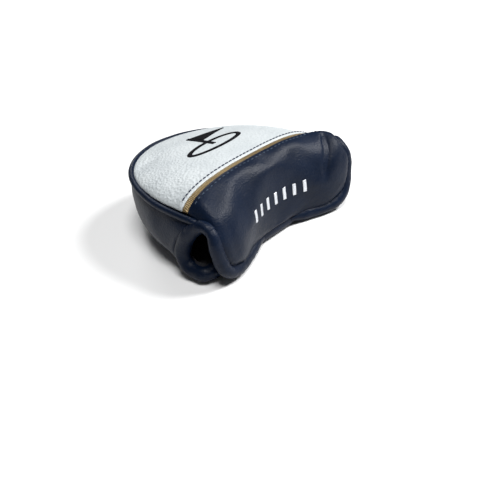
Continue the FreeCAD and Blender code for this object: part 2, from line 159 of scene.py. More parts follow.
def curve(points, count):
    """count points evenly spaced along the spline through points."""
    points = np.asarray(points, float)
    knots = lengths_along(points)
    fine = cubic(knots, points, np.linspace(0, knots[-1], 600))
    along = lengths_along(fine)
    targets = np.linspace(0, along[-1], count)
    return np.stack([np.interp(targets, along, fine[:, k]) for k in range(3)], axis=1)


def smooth(x):
    """0 below 0, 1 above 1, and an S between."""
    x = np.clip(x, 0, 1)
    return x * x * (3 - 2 * x)


def hump(x, centre, width):
    """1 at the centre, falling off as a bell."""
    return np.exp(-((x - centre) / width) ** 2)


def wander(points, scale, seed):
    """Smooth noise from -1 to 1 at each point of an array."""
    points = np.asarray(points, float)
    shift = Vector((seed * 7.31, seed * 3.17, seed * 5.77))
    values = [noise.noise(Vector(point) / scale + shift) for point in points.reshape(-1, 3)]
    return np.array(values).reshape(points.shape[:-1])


def wander_along(lengths, seed):
    """Smooth noise from -1 to 1 along a line."""
    return wander(np.stack([lengths, np.zeros_like(lengths), np.zeros_like(lengths)], axis=1), 1.0, seed)


def unit(vectors):
    """The vectors at length 1."""
    return vectors / np.maximum(np.linalg.norm(vectors, axis=-1, keepdims=True), 1e-9)


def normals(grid):
    """Unit normals of a grid of points, by its two directions."""
    return unit(np.cross(np.gradient(grid, axis=0), np.gradient(grid, axis=1)))


def settle(points):
    """The head inside pushes two corners out a little, so the cover isn't quite even."""
    x, y, z = points.T
    far_front = smooth((x - 38) / 26) * smooth((-30 - y) / 20) * smooth(z / 38)
    near_rear = smooth((-x - 15) / 45) * smooth((y + 45) / 45) * smooth(z / 25)
    push = far_front[:, None] * np.array([4.4, 0.0, 6.0]) + near_rear[:, None] * np.array([-2.6, 0.6, 0.0])
    return points + push


def add_mesh(name, vertices, faces, body, material, node_names=()):
    """Makes one piece: its mesh, the CAD nodes it stands for, its finish and the body that it rides.

    Pieces on body fold or tongue_bend are baked where they stand and ride no body."""
    mesh = bpy.data.meshes.new(name)
    mesh.from_pydata([tuple(v) for v in settle(np.asarray(vertices, float)) * MM], [], faces)
    shell = bmesh.new()
    shell.from_mesh(mesh)
    bmesh.ops.recalc_face_normals(shell, faces=shell.faces)
    shell.to_mesh(mesh)
    shell.free()
    mesh.polygons.foreach_set("use_smooth", [True] * len(mesh.polygons))
    mesh.materials.append(material)
    mesh.update()
    obj = bpy.data.objects.new(name, mesh)
    bpy.context.scene.collection.objects.link(obj)
    if body == "fold":
        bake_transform(obj)
    elif body == "tongue_bend":
        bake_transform(obj)
    else:
        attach(obj, body)
    if node_names:
        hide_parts(*node_names)
    return obj


def slab_faces(rows, columns):
    """Faces of a closed skin over two grids of the same size, the inner grid's points after the outer's."""
    size = rows * columns
    faces = []
    for r in range(rows - 1):
        for c in range(columns - 1):
            a = r * columns + c
            faces.append((a, a + 1, a + columns + 1, a + columns))
            faces.append((size + a, size + a + columns, size + a + columns + 1, size + a + 1))
    rim = [(0, c) for c in range(columns - 1)]
    rim += [(r, columns - 1) for r in range(rows - 1)]
    rim += [(rows - 1, c) for c in range(columns - 1, 0, -1)]
    rim += [(r, 0) for r in range(rows - 1, 0, -1)]
    ring = [r * columns + c for r, c in rim]
    for here, there in zip(ring, ring[1:] + ring[:1]):
        faces.append((there, here, size + here, size + there))
    return faces


def shoulder(grid, width):
    """1 at a grid's border and 0 from width in, as a rounded shoulder."""
    across = np.cumsum(np.linalg.norm(np.diff(grid, axis=1, prepend=grid[:, :1]), axis=2), axis=1)
    down = np.cumsum(np.linalg.norm(np.diff(grid, axis=0, prepend=grid[:1]), axis=2), axis=0)
    nearest = np.minimum.reduce([across, across[:, -1:] - across, down, down[-1:] - down])
    edge = np.clip(1 - nearest / width, 0, 1)
    return (1 - np.sqrt(1 - edge ** 2))[..., None]


def layer(name, grid, depths, sign, body, material, node_names=(),
          top=None, tuck=0.8, tuft=0.0):
    """A layer of a padded wall: a closed slab between two depths below a surface.

    sign turns the grid's own normals outward, top is the sculpted outer surface if it isn't the grid,
    tuck draws the border down into its seams, or up where it's negative, and tuft roughens the inner
    side like pile."""
    out = normals(grid) * sign
    outer = (grid if top is None else top) - out * (depths[0] + tuck * shoulder(grid, 2.4))
    deep = np.full(grid.shape[:2], float(depths[1]))
    if tuft:
        deep = deep + tuft * (wander(grid, 1.7, 4) + 0.6 * wander(grid, 0.8, 9))
    inner = grid - out * deep[..., None]
    vertices = np.concatenate([outer.reshape(-1, 3), inner.reshape(-1, 3)])
    faces = slab_faces(*grid.shape[:2])
    return add_mesh(name, vertices, faces, body, material, node_names)


def carried_frames(path, up):
    """Two unit vectors square to the path at each point, carried along without twist."""
    tangents = unit(np.gradient(path, axis=0))
    side = np.asarray(up, float)
    sides = []
    for tangent in tangents:
        side = side - tangent * np.dot(side, tangent)
        side = side / np.linalg.norm(side)
        sides.append(side)
    sides = np.array(sides)
    return sides, np.cross(tangents, sides)


def tube_mesh(path, radii, up=(0, 0, 1), around=20, wrinkle=0.0, pleat=0.0, seed=1):
    """Vertices and faces of a closed tube; wrinkle dents it all over and pleat rings it."""
    path = np.asarray(path, float)
    sides, others = carried_frames(path, up)
    radii = np.broadcast_to(radii, len(path)).astype(float)
    angles = np.linspace(0, 2 * math.pi, around, endpoint=False)
    spokes = (
        np.cos(angles)[None, :, None] * sides[:, None, :] + np.sin(angles)[None, :, None] * others[:, None, :]
    ) * radii[:, None, None]
    rings = path[:, None, :] + spokes
    if wrinkle:
        rings = rings + spokes * (wrinkle * wander(rings, 5.5, seed))[..., None]
    if pleat:
        along = lengths_along(path)
        swing = wander_along(along / 2.6, seed)
        deeper = 0.4 + 0.6 * np.cos(angles) ** 2
        rings = rings + spokes * (pleat * swing[:, None] * deeper[None, :])[..., None]
    count = len(path)
    faces = []
    for k in range(count - 1):
        ring, beyond = k * around, (k + 1) * around
        for j in range(around):
            nxt = (j + 1) % around
            faces.append((ring + j, ring + nxt, beyond + nxt, beyond + j))
    ends = np.array([
        path[0] + unit(path[0] - path[1]) * radii[0] * 0.6,
        path[-1] + unit(path[-1] - path[-2]) * radii[-1] * 0.6,
    ])
    vertices = np.concatenate([rings.reshape(-1, 3), ends])
    last = (count - 1) * around
    for j in range(around):
        nxt = (j + 1) % around
        faces.append((len(vertices) - 2, nxt, j))
        faces.append((len(vertices) - 1, last + j, last + nxt))
    return vertices, faces


def joined(parts):
    """Several (vertices, faces) as one."""
    vertices = []
    faces = []
    start = 0
    for part_vertices, part_faces in parts:
        vertices.append(part_vertices)
        faces += [tuple(v + start for v in face) for face in part_faces]
        start += len(part_vertices)
    return np.concatenate(vertices), faces


# ------------------------------------------------------------------ finishes
def new_material(name, colour, rough, gloss=0.5, metal=0.0):
    """A material and its main shader; a uniform value is set on its socket."""
    material = bpy.data.materials.new(name)
    material.use_nodes = True
    shader = material.node_tree.nodes["Principled BSDF"]
    shader.inputs["Base Color"].default_value = (*colour, 1)
    shader.inputs["Roughness"].default_value = rough
    shader.inputs["Specular IOR Level"].default_value = gloss
    shader.inputs["Metallic"].default_value = metal
    return material, shader


def texture(material, kind, scale, **settings):
    """A noise, Voronoi or wave texture in the object's own coordinates, scale per metre."""
    nodes = material.node_tree.nodes
    links = material.node_tree.links
    made = nodes.new(kind)
    made.inputs["Scale"].default_value = scale
    for key, value in settings.items():
        if hasattr(made, key):
            setattr(made, key, value)
        else:
            made.inputs[key.replace("_", " ").title()].default_value = value
    place = nodes.get("Texture Coordinate") or nodes.new("ShaderNodeTexCoord")
    links.new(place.outputs["Object"], made.inputs["Vector"])
    return made


def vary_colour(material, shader, colours, scale, detail=3.0):
    """Colour that wanders between two shades."""
    nodes = material.node_tree.nodes
    patches = texture(material, "ShaderNodeTexNoise", scale, detail=detail)
    ramp = nodes.new("ShaderNodeValToRGB")
    ramp.color_ramp.elements[0].position = 0.3
    ramp.color_ramp.elements[1].position = 0.7
    ramp.color_ramp.elements[0].color = (*colours[0], 1)
    ramp.color_ramp.elements[1].color = (*colours[1], 1)
    material.node_tree.links.new(patches.outputs[0], ramp.inputs["Fac"])
    material.node_tree.links.new(ramp.outputs["Color"], shader.inputs["Base Color"])
    return ramp


def vary_rough(material, shader, lowest, highest, scale):
    """Roughness that wanders between two values."""
    spread = material.node_tree.nodes.new("ShaderNodeMapRange")
    spread.inputs["To Min"].default_value = lowest
    spread.inputs["To Max"].default_value = highest
    patches = texture(material, "ShaderNodeTexNoise", scale, detail=4.0)
    material.node_tree.links.new(patches.outputs[0], spread.inputs["Value"])
    material.node_tree.links.new(spread.outputs["Result"], shader.inputs["Roughness"])


def add_bump(material, shader, source, socket, distance, strength=1.0):
    """Adds relief to whatever relief the shader already has; distance is in metres."""
    links = material.node_tree.links
    bump = material.node_tree.nodes.new("ShaderNodeBump")
    bump.inputs["Distance"].default_value = distance
    bump.inputs["Strength"].default_value = strength
    links.new(source.outputs[socket], bump.inputs["Height"])
    if shader.inputs["Normal"].is_linked:
        links.new(shader.inputs["Normal"].links[0].from_socket, bump.inputs["Normal"])
    links.new(bump.outputs["Normal"], shader.inputs["Normal"])


def leather(name, shades, rough, gloss, pebble, pebble_deep, pore_deep):
    """Grained leather: pebbles of a size in metres, fine pores, uneven dye and polish, worn high spots."""
    material, shader = new_material(name, shades[0], sum(rough) / 2, gloss)
    ramp = vary_colour(material, shader, shades, 38.0)
    vary_rough(material, shader, rough[0], rough[1], 55.0)
    pebbles = texture(material, "ShaderNodeTexVoronoi", 1 / pebble, feature="SMOOTH_F1", smoothness=0.35)
    add_bump(material, shader, pebbles, "Distance", pebble_deep, 0.6)
    pores = texture(material, "ShaderNodeTexNoise", 2600.0, detail=4.0)
    add_bump(material, shader, pores, 0, pore_deep, 0.5)
    folds = texture(material, "ShaderNodeTexNoise", 160.0, detail=5.0)
    add_bump(material, shader, folds, 0, 0.00035, 0.35)
    nodes = material.node_tree.nodes
    links = material.node_tree.links
    geometry = nodes.new("ShaderNodeNewGeometry")
    edges = nodes.new("ShaderNodeMapRange")
    edges.inputs["From Min"].default_value = 0.53
    edges.inputs["From Max"].default_value = 0.62
    edges.inputs["To Max"].default_value = 0.35
    links.new(geometry.outputs["Pointiness"], edges.inputs["Value"])
    worn = nodes.new("ShaderNodeMix")
    worn.data_type = "RGBA"
    links.new(edges.outputs["Result"], worn.inputs[0])
    links.new(ramp.outputs["Color"], worn.inputs[6])
    worn.inputs[7].default_value = (*[min(1.0, 1.25 * v + 0.003) for v in shades[1]], 1)
    links.new(worn.outputs[2], shader.inputs["Base Color"])
    return material


def gold_leather():
    """Satin metallic strip with fine ribs across it."""
    material, shader = new_material("gold_leather", (0.45, 0.32, 0.15), 0.40, 0.5, 0.45)
    vary_colour(material, shader, ((0.19, 0.13, 0.055), (0.36, 0.26, 0.125)), 60.0)
    ribs = texture(material, "ShaderNodeTexWave", 330.0, bands_direction="X", distortion=1.6)
    add_bump(material, shader, ribs, 0, 0.0005, 0.9)
    pores = texture(material, "ShaderNodeTexNoise", 2200.0, detail=4.0)
    add_bump(material, shader, pores, 0, 0.0001, 0.6)
    return material


def cloth_like(name, shades, rough, bump_scale, bump_deep, sheen=0.0, metal=0.0, gloss=0.25):
    """Plush, thread or foam: colour and relief at the scale of its fibres."""
    material, shader = new_material(name, shades[0], rough, gloss, metal)
    vary_colour(material, shader, shades, bump_scale * 0.35)
    shader.inputs["Sheen Weight"].default_value = sheen
    fibres = texture(material, "ShaderNodeTexNoise", bump_scale, detail=6.0)
    add_bump(material, shader, fibres, 0, bump_deep, 0.9)
    return material


WHITE = leather("white_leather", ((0.38, 0.41, 0.425), (0.45, 0.48, 0.49)), (0.42, 0.55), 0.35,
                0.0021, 0.00075, 0.00012)
NAVY = leather("navy_leather", ((0.0006, 0.0040, 0.0135), (0.0014, 0.0062, 0.0200)), (0.38, 0.52), 0.16,
               0.0011, 0.00025, 0.00006)
GOLD = gold_leather()
PLUSH_CLOTH = cloth_like("black_plush", ((0.006, 0.006, 0.009), (0.018, 0.018, 0.023)), 0.95,
                         1500.0, 0.0006, sheen=0.12)
FOAM_CLOTH = cloth_like("foam_padding", ((0.24, 0.25, 0.27), (0.34, 0.35, 0.37)), 0.9, 1900.0, 0.0003)
BOARD = cloth_like("stiffener_board", ((0.09, 0.09, 0.10), (0.14, 0.14, 0.15)), 0.7, 900.0, 0.0001)
FIBRE = (5200.0, 0.0001)         # fibres per metre of thread, and how deep their relief is
NAVY_THREAD = cloth_like("navy_thread", ((0.005, 0.008, 0.024), (0.010, 0.016, 0.045)), 0.55,
                         *FIBRE, sheen=0.1)
BLUE_THREAD = cloth_like("blue_grey_thread", ((0.022, 0.036, 0.062), (0.042, 0.064, 0.10)), 0.55,
                         *FIBRE, sheen=0.1)
BLACK_THREAD = cloth_like("black_thread", ((0.003, 0.003, 0.004), (0.007, 0.007, 0.009)), 0.75,
                          *FIBRE, gloss=0.04)
SILVER_THREAD = cloth_like("silver_thread", ((0.50, 0.52, 0.55), (0.74, 0.76, 0.80)), 0.34,
                           *FIBRE, metal=0.75)


# ------------------------------------------------------------------ plan of the crown seam
def plan_points():
    """The right half of the crown seam in plan, from the rear centre round to the slit."""
    turn = np.linspace(0, math.pi / 2, 160)
    power = 2 / PLAN_POWER
    xs = HALF * np.sin(turn) ** power
    ys = PLAN_MID + (REAR - PLAN_MID) * np.cos(turn) ** power
    down = np.linspace(0, 1, 30)[1:]
    xs = np.concatenate([xs, HALF - (HALF - SLIT_X) * down ** 2])
    ys = np.concatenate([ys, PLAN_MID + (SLIT_Y - PLAN_MID) * down])
    points = np.stack([xs, ys], axis=1)
    along = lengths_along(points)
    even = np.linspace(0, along[-1], 300)
    return np.stack([np.interp(even, along, points[:, k]) for k in range(2)], axis=1), even


PLAN, PLAN_LENGTH = plan_points()


def plan_at(length):
    """Point and outward normal of the right half of the plan, by distance from the rear centre."""
    length = np.asarray(length, float)
    point = np.stack([np.interp(length, PLAN_LENGTH, PLAN[:, k]) for k in range(2)], axis=-1)
    step = unit(np.gradient(PLAN, axis=0))
    out = np.stack([-step[:, 1], step[:, 0]], axis=1)
    out[0] = (0, 1)
    normal = np.stack([np.interp(length, PLAN_LENGTH, out[:, k]) for k in range(2)], axis=-1)
    return point, unit(normal)


def length_at_y(y):
    """Distance along the plan to the point on the straight side with that Y."""
    return np.interp(-np.asarray(y, float), -PLAN[:, 1], PLAN_LENGTH)


def half_width(y):
    """Half the width of the plan at that Y."""
    return np.interp(-np.asarray(y, float), -PLAN[:, 1], PLAN[:, 0])


def far_drop(x, y):
    """How far the crown's own weight pushes its seam down at the far rear."""
    return 4.2 * smooth((x + 25) / 75) * smooth((y + 40) / 80)


def seam_z(x, y):
    """Height of the crown seam at a point of its plan."""
    return SEAM_AT_FRONT + SEAM_SLOPE * (y - low("crown_piping")[1]) - far_drop(x, y)


def crown_z(x, y):
    """Height of the padded crown."""
    back = np.maximum(y - PLAN_MID, 0) / (REAR - PLAN_MID)
    side = np.abs(x) / np.where(y > PLAN_MID, HALF, half_width(y))
    reach = np.clip((side ** PLAN_POWER + back ** PLAN_POWER) ** (1 / PLAN_POWER), 0, 1)
    rise = CROWN_RISE + CROWN_TILT * y + 1.6 * far_drop(x, y)
    return seam_z(x, y) + rise * (1 - reach ** CROWN_POWER) ** CROWN_EDGE


def crown_rows(ys, us):
    """Grid over the crown: a row per Y, a column per share of the half width."""
    xs = us[None, :] * (half_width(ys)[:, None] - CROWN_INSET)
    ys = np.repeat(ys[:, None], len(us), axis=1)
    return np.stack([xs, ys, crown_z(xs, ys)], axis=2)


# ------------------------------------------------------------------ the front, from the strip down
# Each line of the net runs down the face at one share of the half width. A point is (share of the half
# width, distance behind the fold, height above it).
FACE_NET = {
    0.0: [(0, 16.4, 16.2), (0, 11.8, 12.1), (0, 8.6, 6.4), (0, 7.0, 0), (0, 6.4, -9), (0, 6.4, -19),
          (0, 6.9, -29.5), (0, 8.0, -35.8)],
    0.5: [(0.5, 15.6, 15.0), (0.5, 10.2, 10.6), (0.5, 5.6, 5.0), (0.5, 2.6, -1.2), (0.5, 0.9, -9.8),
          (0.5, 0.4, -19.8), (0.48, 1.4, -29.8), (0.447, 3.6, -35.6)],
    0.8: [(0.8, 14.9, 11.2), (0.8, 8.0, 7.4), (0.8, 1.6, 2.6), (0.79, -2.6, -3.4), (0.785, -5.6, -11.2),
          (0.775, -6.6, -20.2), (0.735, -5.6, -29.2), (0.65, -2.6, -34.8)],
    0.93: [(0.925, 15.0, 7.2), (0.92, 8.6, 4.4), (0.918, 2.6, 0.6), (0.92, -2.0, -4.6), (0.915, -5.4, -11.2),
           (0.90, -6.8, -19.8), (0.84, -6.0, -28.9), (0.71, -2.8, -34.6)],
    1.0: [(0.985, 16.2, -0.2), (0.978, 12.0, -0.3), (0.966, 7.6, -0.6), (0.97, 1.6, -3.0),
          (0.962, -3.4, -9.4), (0.942, -5.8, -18.8), (0.872, -5.5, -28.4), (0.75, -2.6, -34.2)],
}
FACE_SHARES = sorted(FACE_NET)


def face_grid(us, downs):
    """Grid over the front: rows by downs, from 0 at the strip to 1 at the bottom edge."""
    lead_in = crown_rows(np.array([STRIP_REAR + 10, STRIP_REAR + 2, STRIP_FRONT]), np.array(FACE_SHARES))
    lines = []
    for k, share in enumerate(FACE_SHARES):
        net = [(fx * HALF, FOLD[1] + dy, FOLD[2] + dz) for fx, dy, dz in FACE_NET[share]]
        lines.append(np.concatenate([lead_in[:, k], net]))
    lines = np.array(lines)
    steps = np.linalg.norm(np.diff(lines, axis=1), axis=2).mean(axis=0)
    knots = np.concatenate([[0], np.cumsum(steps)])
    knots = (knots - knots[2]) / (knots[-1] - knots[2])
    rows = np.array([cubic(knots, line, downs) for line in lines])
    both = np.concatenate([rows[::-1][:-1] * np.array([-1, 1, 1]), rows])
    shares = [-share for share in FACE_SHARES[::-1][:-1]] + FACE_SHARES
    grid = cubic(shares, both, us).transpose(1, 0, 2)
    step_at_strip = crown_rows(np.array([STRIP_FRONT]), us) - grid[:1]
    return grid + step_at_strip * (1 - smooth(downs / 0.2))[:, None, None]


SPREAD = np.linspace(-1, 1, 145)
US = 0.5 * SPREAD + 0.5 * np.sin(SPREAD * math.pi / 2)
CROWN_YS = STRIP_REAR + (REAR - 0.5 - STRIP_REAR) * (1 - (1 - np.linspace(0, 1, 109)) ** 1.5)
STRIP_YS = np.linspace(STRIP_REAR, STRIP_FRONT, 10)
DOWNS = np.linspace(0, 1, 105)
POUCH_ROWS = 28          # rows of the face that belong to the pouch
FLAP_ROW = 30            # first row of the flap's padding and plush

crown = crown_rows(CROWN_YS[::-1], US)
strip = crown_rows(STRIP_YS, US)
face = face_grid(US, DOWNS)


# ------------------------------------------------------------------ walls and underside
# The mouth's rolled band joins the wall along this line, as (behind the fold, above the fold), from the
# slit's top down and round the shaft notch to the underside.
MOUTH_SEAM = [(11, 0.5), (20, -5), (29, -15), (33.5, -26), (33, -34), (28, -39.5), (21, -43.2)]
# (share of the way down, bulge outside the seam's plan, share of the seam's height)
WALL_PROFILE = [(0.0, -0.6, 0.985), (0.1, 1.6, 0.88), (0.35, 3.2, 0.62), (0.6, 2.8, 0.36), (0.78, 0.6, 0.16),
                (0.9, -3.8, 0.035), (1.0, -9.0, 0.010)]


def wall_grid(side, columns=97, rows=49):
    """Grid over one side wall, from the crown seam down and under; side is -1 or 1."""
    downs = np.linspace(0, 1, rows)
    profile = cubic([p[0] for p in WALL_PROFILE], np.array([p[1:] for p in WALL_PROFILE]), downs)
    seam = curve([(0, FOLD[1] + dy, FOLD[2] + dz) for dy, dz in MOUTH_SEAM], rows)
    grid = np.zeros((rows, columns, 3))
    for r in range(rows):
        front = length_at_y(seam[r, 1])
        lengths = np.linspace(front, 0, columns)
        point, out = plan_at(lengths)
        nearness = np.exp(-(front - lengths) / 15.0)
        rise = seam_z(side * point[:, 0], point[:, 1]) * profile[r, 1]
        height = rise + (seam[r, 2] - rise[0]) * nearness
        bulge = profile[r, 0] + nearness * (3.4 * math.sin(math.pi * min(1, downs[r])) + 6.5 * downs[r] ** 3)
        grid[r, :, :2] = point + out * bulge[:, None]
        grid[r, :, 2] = np.maximum(height, 0.3)
    grid[..., 0] *= side
    return grid


UNDERSIDE_FRONT = FOLD[1] + 15.5
UNDERSIDE_REAR = REAR - 9.2
UNDERSIDE_HALF = HALF - 8.4


def underside_grid(columns=121, rows=121):
    """Grid over the underside, wider and longer at its front corners and hollowed for the tongue."""
    share = np.linspace(0, 1, rows)
    ys = UNDERSIDE_FRONT + (UNDERSIDE_REAR - UNDERSIDE_FRONT) * (1 - (1 - share) ** 1.5)
    us = np.linspace(-1, 1, columns)
    back = np.clip((ys - PLAN_MID) / (UNDERSIDE_REAR + 0.6 - PLAN_MID), 0, 1)
    widths = UNDERSIDE_HALF * np.maximum(1 - back ** PLAN_POWER, 0) ** (1 / PLAN_POWER)
    widths = widths + 6.5 * np.exp(-np.maximum(ys - FOLD[1] - MOUTH_SEAM[-1][0], 0) / 15.0)
    xs = us[None, :] * np.maximum(widths, 2.0)[:, None]
    ys = np.repeat(ys[:, None], columns, axis=1)
    beside_recess = smooth((np.abs(xs) - 35) / 12)
    ys = ys - 2.6 * beside_recess * smooth(1 - (ys - UNDERSIDE_FRONT) / 12)
    inside = smooth((RECESS_HALF + 1.2 - np.abs(xs)) / 2.0) * smooth((RECESS_REAR + 1.2 - ys) / 2.0)
    return np.stack([xs, ys, 0.25 + RECESS_DEEP * inside], axis=2)


walls = {side_name: wall_grid(side) for side_name, side in SIDES.items()}
underside = underside_grid()

# ------------------------------------------------------------------ rolled bands
# Centre lines beside one slit, as (share of the half width, behind the fold, above the fold).
MOUTH_BAND = [(0.955, 2.8, -4.6), (0.967, 7.0, -2.4), (0.985, 13.4, -4.0), (1.03, 22.7, -13),
              (1.05, 27.9, -23.5), (1.068, 27.9, -31.0), (1.07, 23.9, -36.2), (1.06, 17.4, -38.1),
              (1.035, 11.4, -38.1),
              (0.94, 9.8, -38.1), (0.79, 11.4, -38.3), (0.6, 13.8, -38.4), (0.42, 15.4, -38.2),
              (0.33, 16.2, -35.2), (0.24, 16.4, -33.2), (0.12, 16.5, -32.9), (0.0, 16.5, -32.8)]
FLAP_BAND = [(0.955, 5.4, -2.8), (0.962, 1.6, -6.0), (0.977, -1.0, -13.5), (0.970, -2.1, -23.0),
             (0.945, -3.1, -31.0), (0.856, -2.9, -36.6), (0.712, -0.4, -39.0), (0.56, 3.7, -39.4),
             (0.38, 8.4, -38.8), (0.235, 11.4, -38.2)]


def beside_fold(net, side):
    """Points of such a line on one side of the cover."""
    return [(side * share * HALF, FOLD[1] + dy, FOLD[2] + dz) for share, dy, dz in net]


def reach_bands(grid, distance):
    """Draws the flap's border toward the rolled bands until it lies this close to their centre lines."""
    spots = np.concatenate([curve(beside_fold(FLAP_BAND, side), 150) for side in (-1, 1)])
    flat = grid.reshape(-1, 3)
    gaps = np.linalg.norm(flat[:, None] - spots[None], axis=2)
    nearest = np.argmin(gaps, axis=1)
    gap = np.min(gaps, axis=1)
    beside_band = 1 - smooth((gap - 7) / 3)
    pull = (spots[nearest] - flat) * (np.maximum(gap - distance, 0) / gap * beside_band)[:, None]
    lower = smooth((DOWNS - 0.45) / 0.15)[:, None, None]
    return grid + pull.reshape(grid.shape) * shoulder(grid, 5.0) * lower


def taper(count, start, middle, end, share=0.18):
    """Radii that grow from start to middle and shrink to end."""
    t = np.linspace(0, 1, count)
    return start + (middle - start) * smooth(t / share) - (middle - end) * smooth((t - 1 + share) / share)


def piping_path():
    """Centre line of the crown piping, from one slit round the rear to the other."""
    point, out = plan_at(np.linspace(length_at_y(SLIT_Y + 8), 0, 150))
    point = point + out * 0.6
    mirror = np.array([-1, 1])
    tuck = np.array([[SLIT_X - 1.5, SLIT_Y + 4]])
    plan = np.concatenate([tuck * mirror, point * mirror, point[::-1][1:], tuck])
    heights = seam_z(plan[:, 0], plan[:, 1])
    heights[[0, -1]] -= 2.4
    return np.concatenate([plan, heights[:, None]], axis=1)


# ------------------------------------------------------------------ padded leather
def puff(grid, sign, pressure, slack, cap, step=4):
    """The surface as cloth, a little too large, blown up from inside with its border held.

    Every step-th point takes part, slack is the extra size as a share, and no point moves more than cap."""
    coarse = grid[::step, ::step]
    rows, columns = coarse.shape[:2]
    mesh = bpy.data.meshes.new("sheet")
    faces = []
    for r in range(rows - 1):
        for c in range(columns - 1):
            a = r * columns + c
            face = (a, a + 1, a + columns + 1, a + columns)
            faces.append(face if sign < 0 else face[::-1])
    mesh.from_pydata([tuple(v) for v in coarse.reshape(-1, 3) * MM], [], faces)
    sheet = bpy.data.objects.new("sheet", mesh)
    bpy.context.scene.collection.objects.link(sheet)
    held = sheet.vertex_groups.new(name="held")
    border = [r * columns + c for r in range(rows) for c in range(columns)
              if r in (0, rows - 1) or c in (0, columns - 1)]
    held.add(border, 1.0, "REPLACE")
    cloth = sheet.modifiers.new("cloth", "CLOTH")
    cloth.settings.quality = 8
    cloth.settings.mass = 0.2
    cloth.settings.tension_stiffness = 12
    cloth.settings.compression_stiffness = 12
    cloth.settings.shear_stiffness = 6
    cloth.settings.bending_stiffness = 5
    cloth.settings.air_damping = 4
    cloth.settings.vertex_group_mass = "held"
    cloth.settings.shrink_min = -slack
    cloth.settings.use_pressure = True
    cloth.settings.uniform_pressure_force = pressure
    cloth.settings.effector_weights.gravity = 0
    for number in range(1, 21):
        bpy.context.scene.frame_set(number)
    blown = sheet.evaluated_get(bpy.context.evaluated_depsgraph_get()).data
    after = np.array([v.co for v in blown.vertices]).reshape(coarse.shape) / MM
    bpy.data.objects.remove(sheet)
    bpy.context.scene.frame_set(1)
    shift = after - coarse
    size = np.linalg.norm(shift, axis=2, keepdims=True)
    shift = shift * np.minimum(1, cap / np.maximum(size, 1e-6))
    for _ in range(2):
        inner = shift[1:-1, 1:-1]
        around = shift[:-2, 1:-1] + shift[2:, 1:-1] + shift[1:-1, :-2] + shift[1:-1, 2:]
        shift[1:-1, 1:-1] = 0.5 * inner + 0.125 * around
    row_knots = np.arange(0, grid.shape[0], step)
    column_knots = np.arange(0, grid.shape[1], step)
    fine = cubic(row_knots, shift, np.arange(grid.shape[0]))
    fine = cubic(column_knots, fine.transpose(1, 0, 2), np.arange(grid.shape[1])).transpose(1, 0, 2)
    return grid + fine


def fuzzy_lip(path, side):
    """The plush lining's ragged edge, behind the rolled band of the mouth."""
    path = path + np.array([-3.2 * side, -0.6, 0.4])
    upright = smooth((path[:, 2] - 10) / 20)[:, None]
    path = path + np.array([0.0, 2.6, 1.6]) * upright + np.array([0.0, 1.0, 2.6]) * (1 - upright)
    ragged = 2.3 + 0.7 * wander_along(np.arange(len(path)) / 2.2, 6)
    return tube_mesh(path, ragged, around=16, wrinkle=0.45, seed=6)


face = reach_bands(face, distance=3.4)
crown_top = puff(crown, 1, pressure=2.5, slack=0.002, cap=1.0)
face_top = puff(face, 1, pressure=4.0, slack=0.006, cap=1.8)
wall_tops = {}
for side_name, side in SIDES.items():
    wall_tops[side_name] = puff(walls[side_name], side, pressure=4.0, slack=0.006, cap=1.6)


def crease(grid, top):
    """Soft furrows in the face where its lobes begin, and gentle unevenness all over."""
    out = normals(grid)
    share = US[None, :] * np.ones((len(DOWNS), 1))
    down = DOWNS[:, None] * np.ones((1, len(US)))
    line = np.interp(down, [0.12, 0.25, 0.38, 0.5, 0.65], [0.86, 0.78, 0.72, 0.67, 0.64])
    length = smooth((down - 0.09) / 0.16) * smooth((0.66 - down) / 0.30)
    furrow = -3.0 * hump(share, line, 0.034) * length + 0.9 * hump(share, line + 0.11, 0.06) * length
    furrow += -0.5 * hump(share, -0.83, 0.06) * smooth((down - 0.3) / 0.2) * smooth((0.9 - down) / 0.2)
    ripples = 0.24 * wander(grid, 17.0, 2) + 0.12 * wander(grid, 6.0, 3)
    return top + out * (furrow + ripples)[..., None]


face_top = crease(face, face_top)

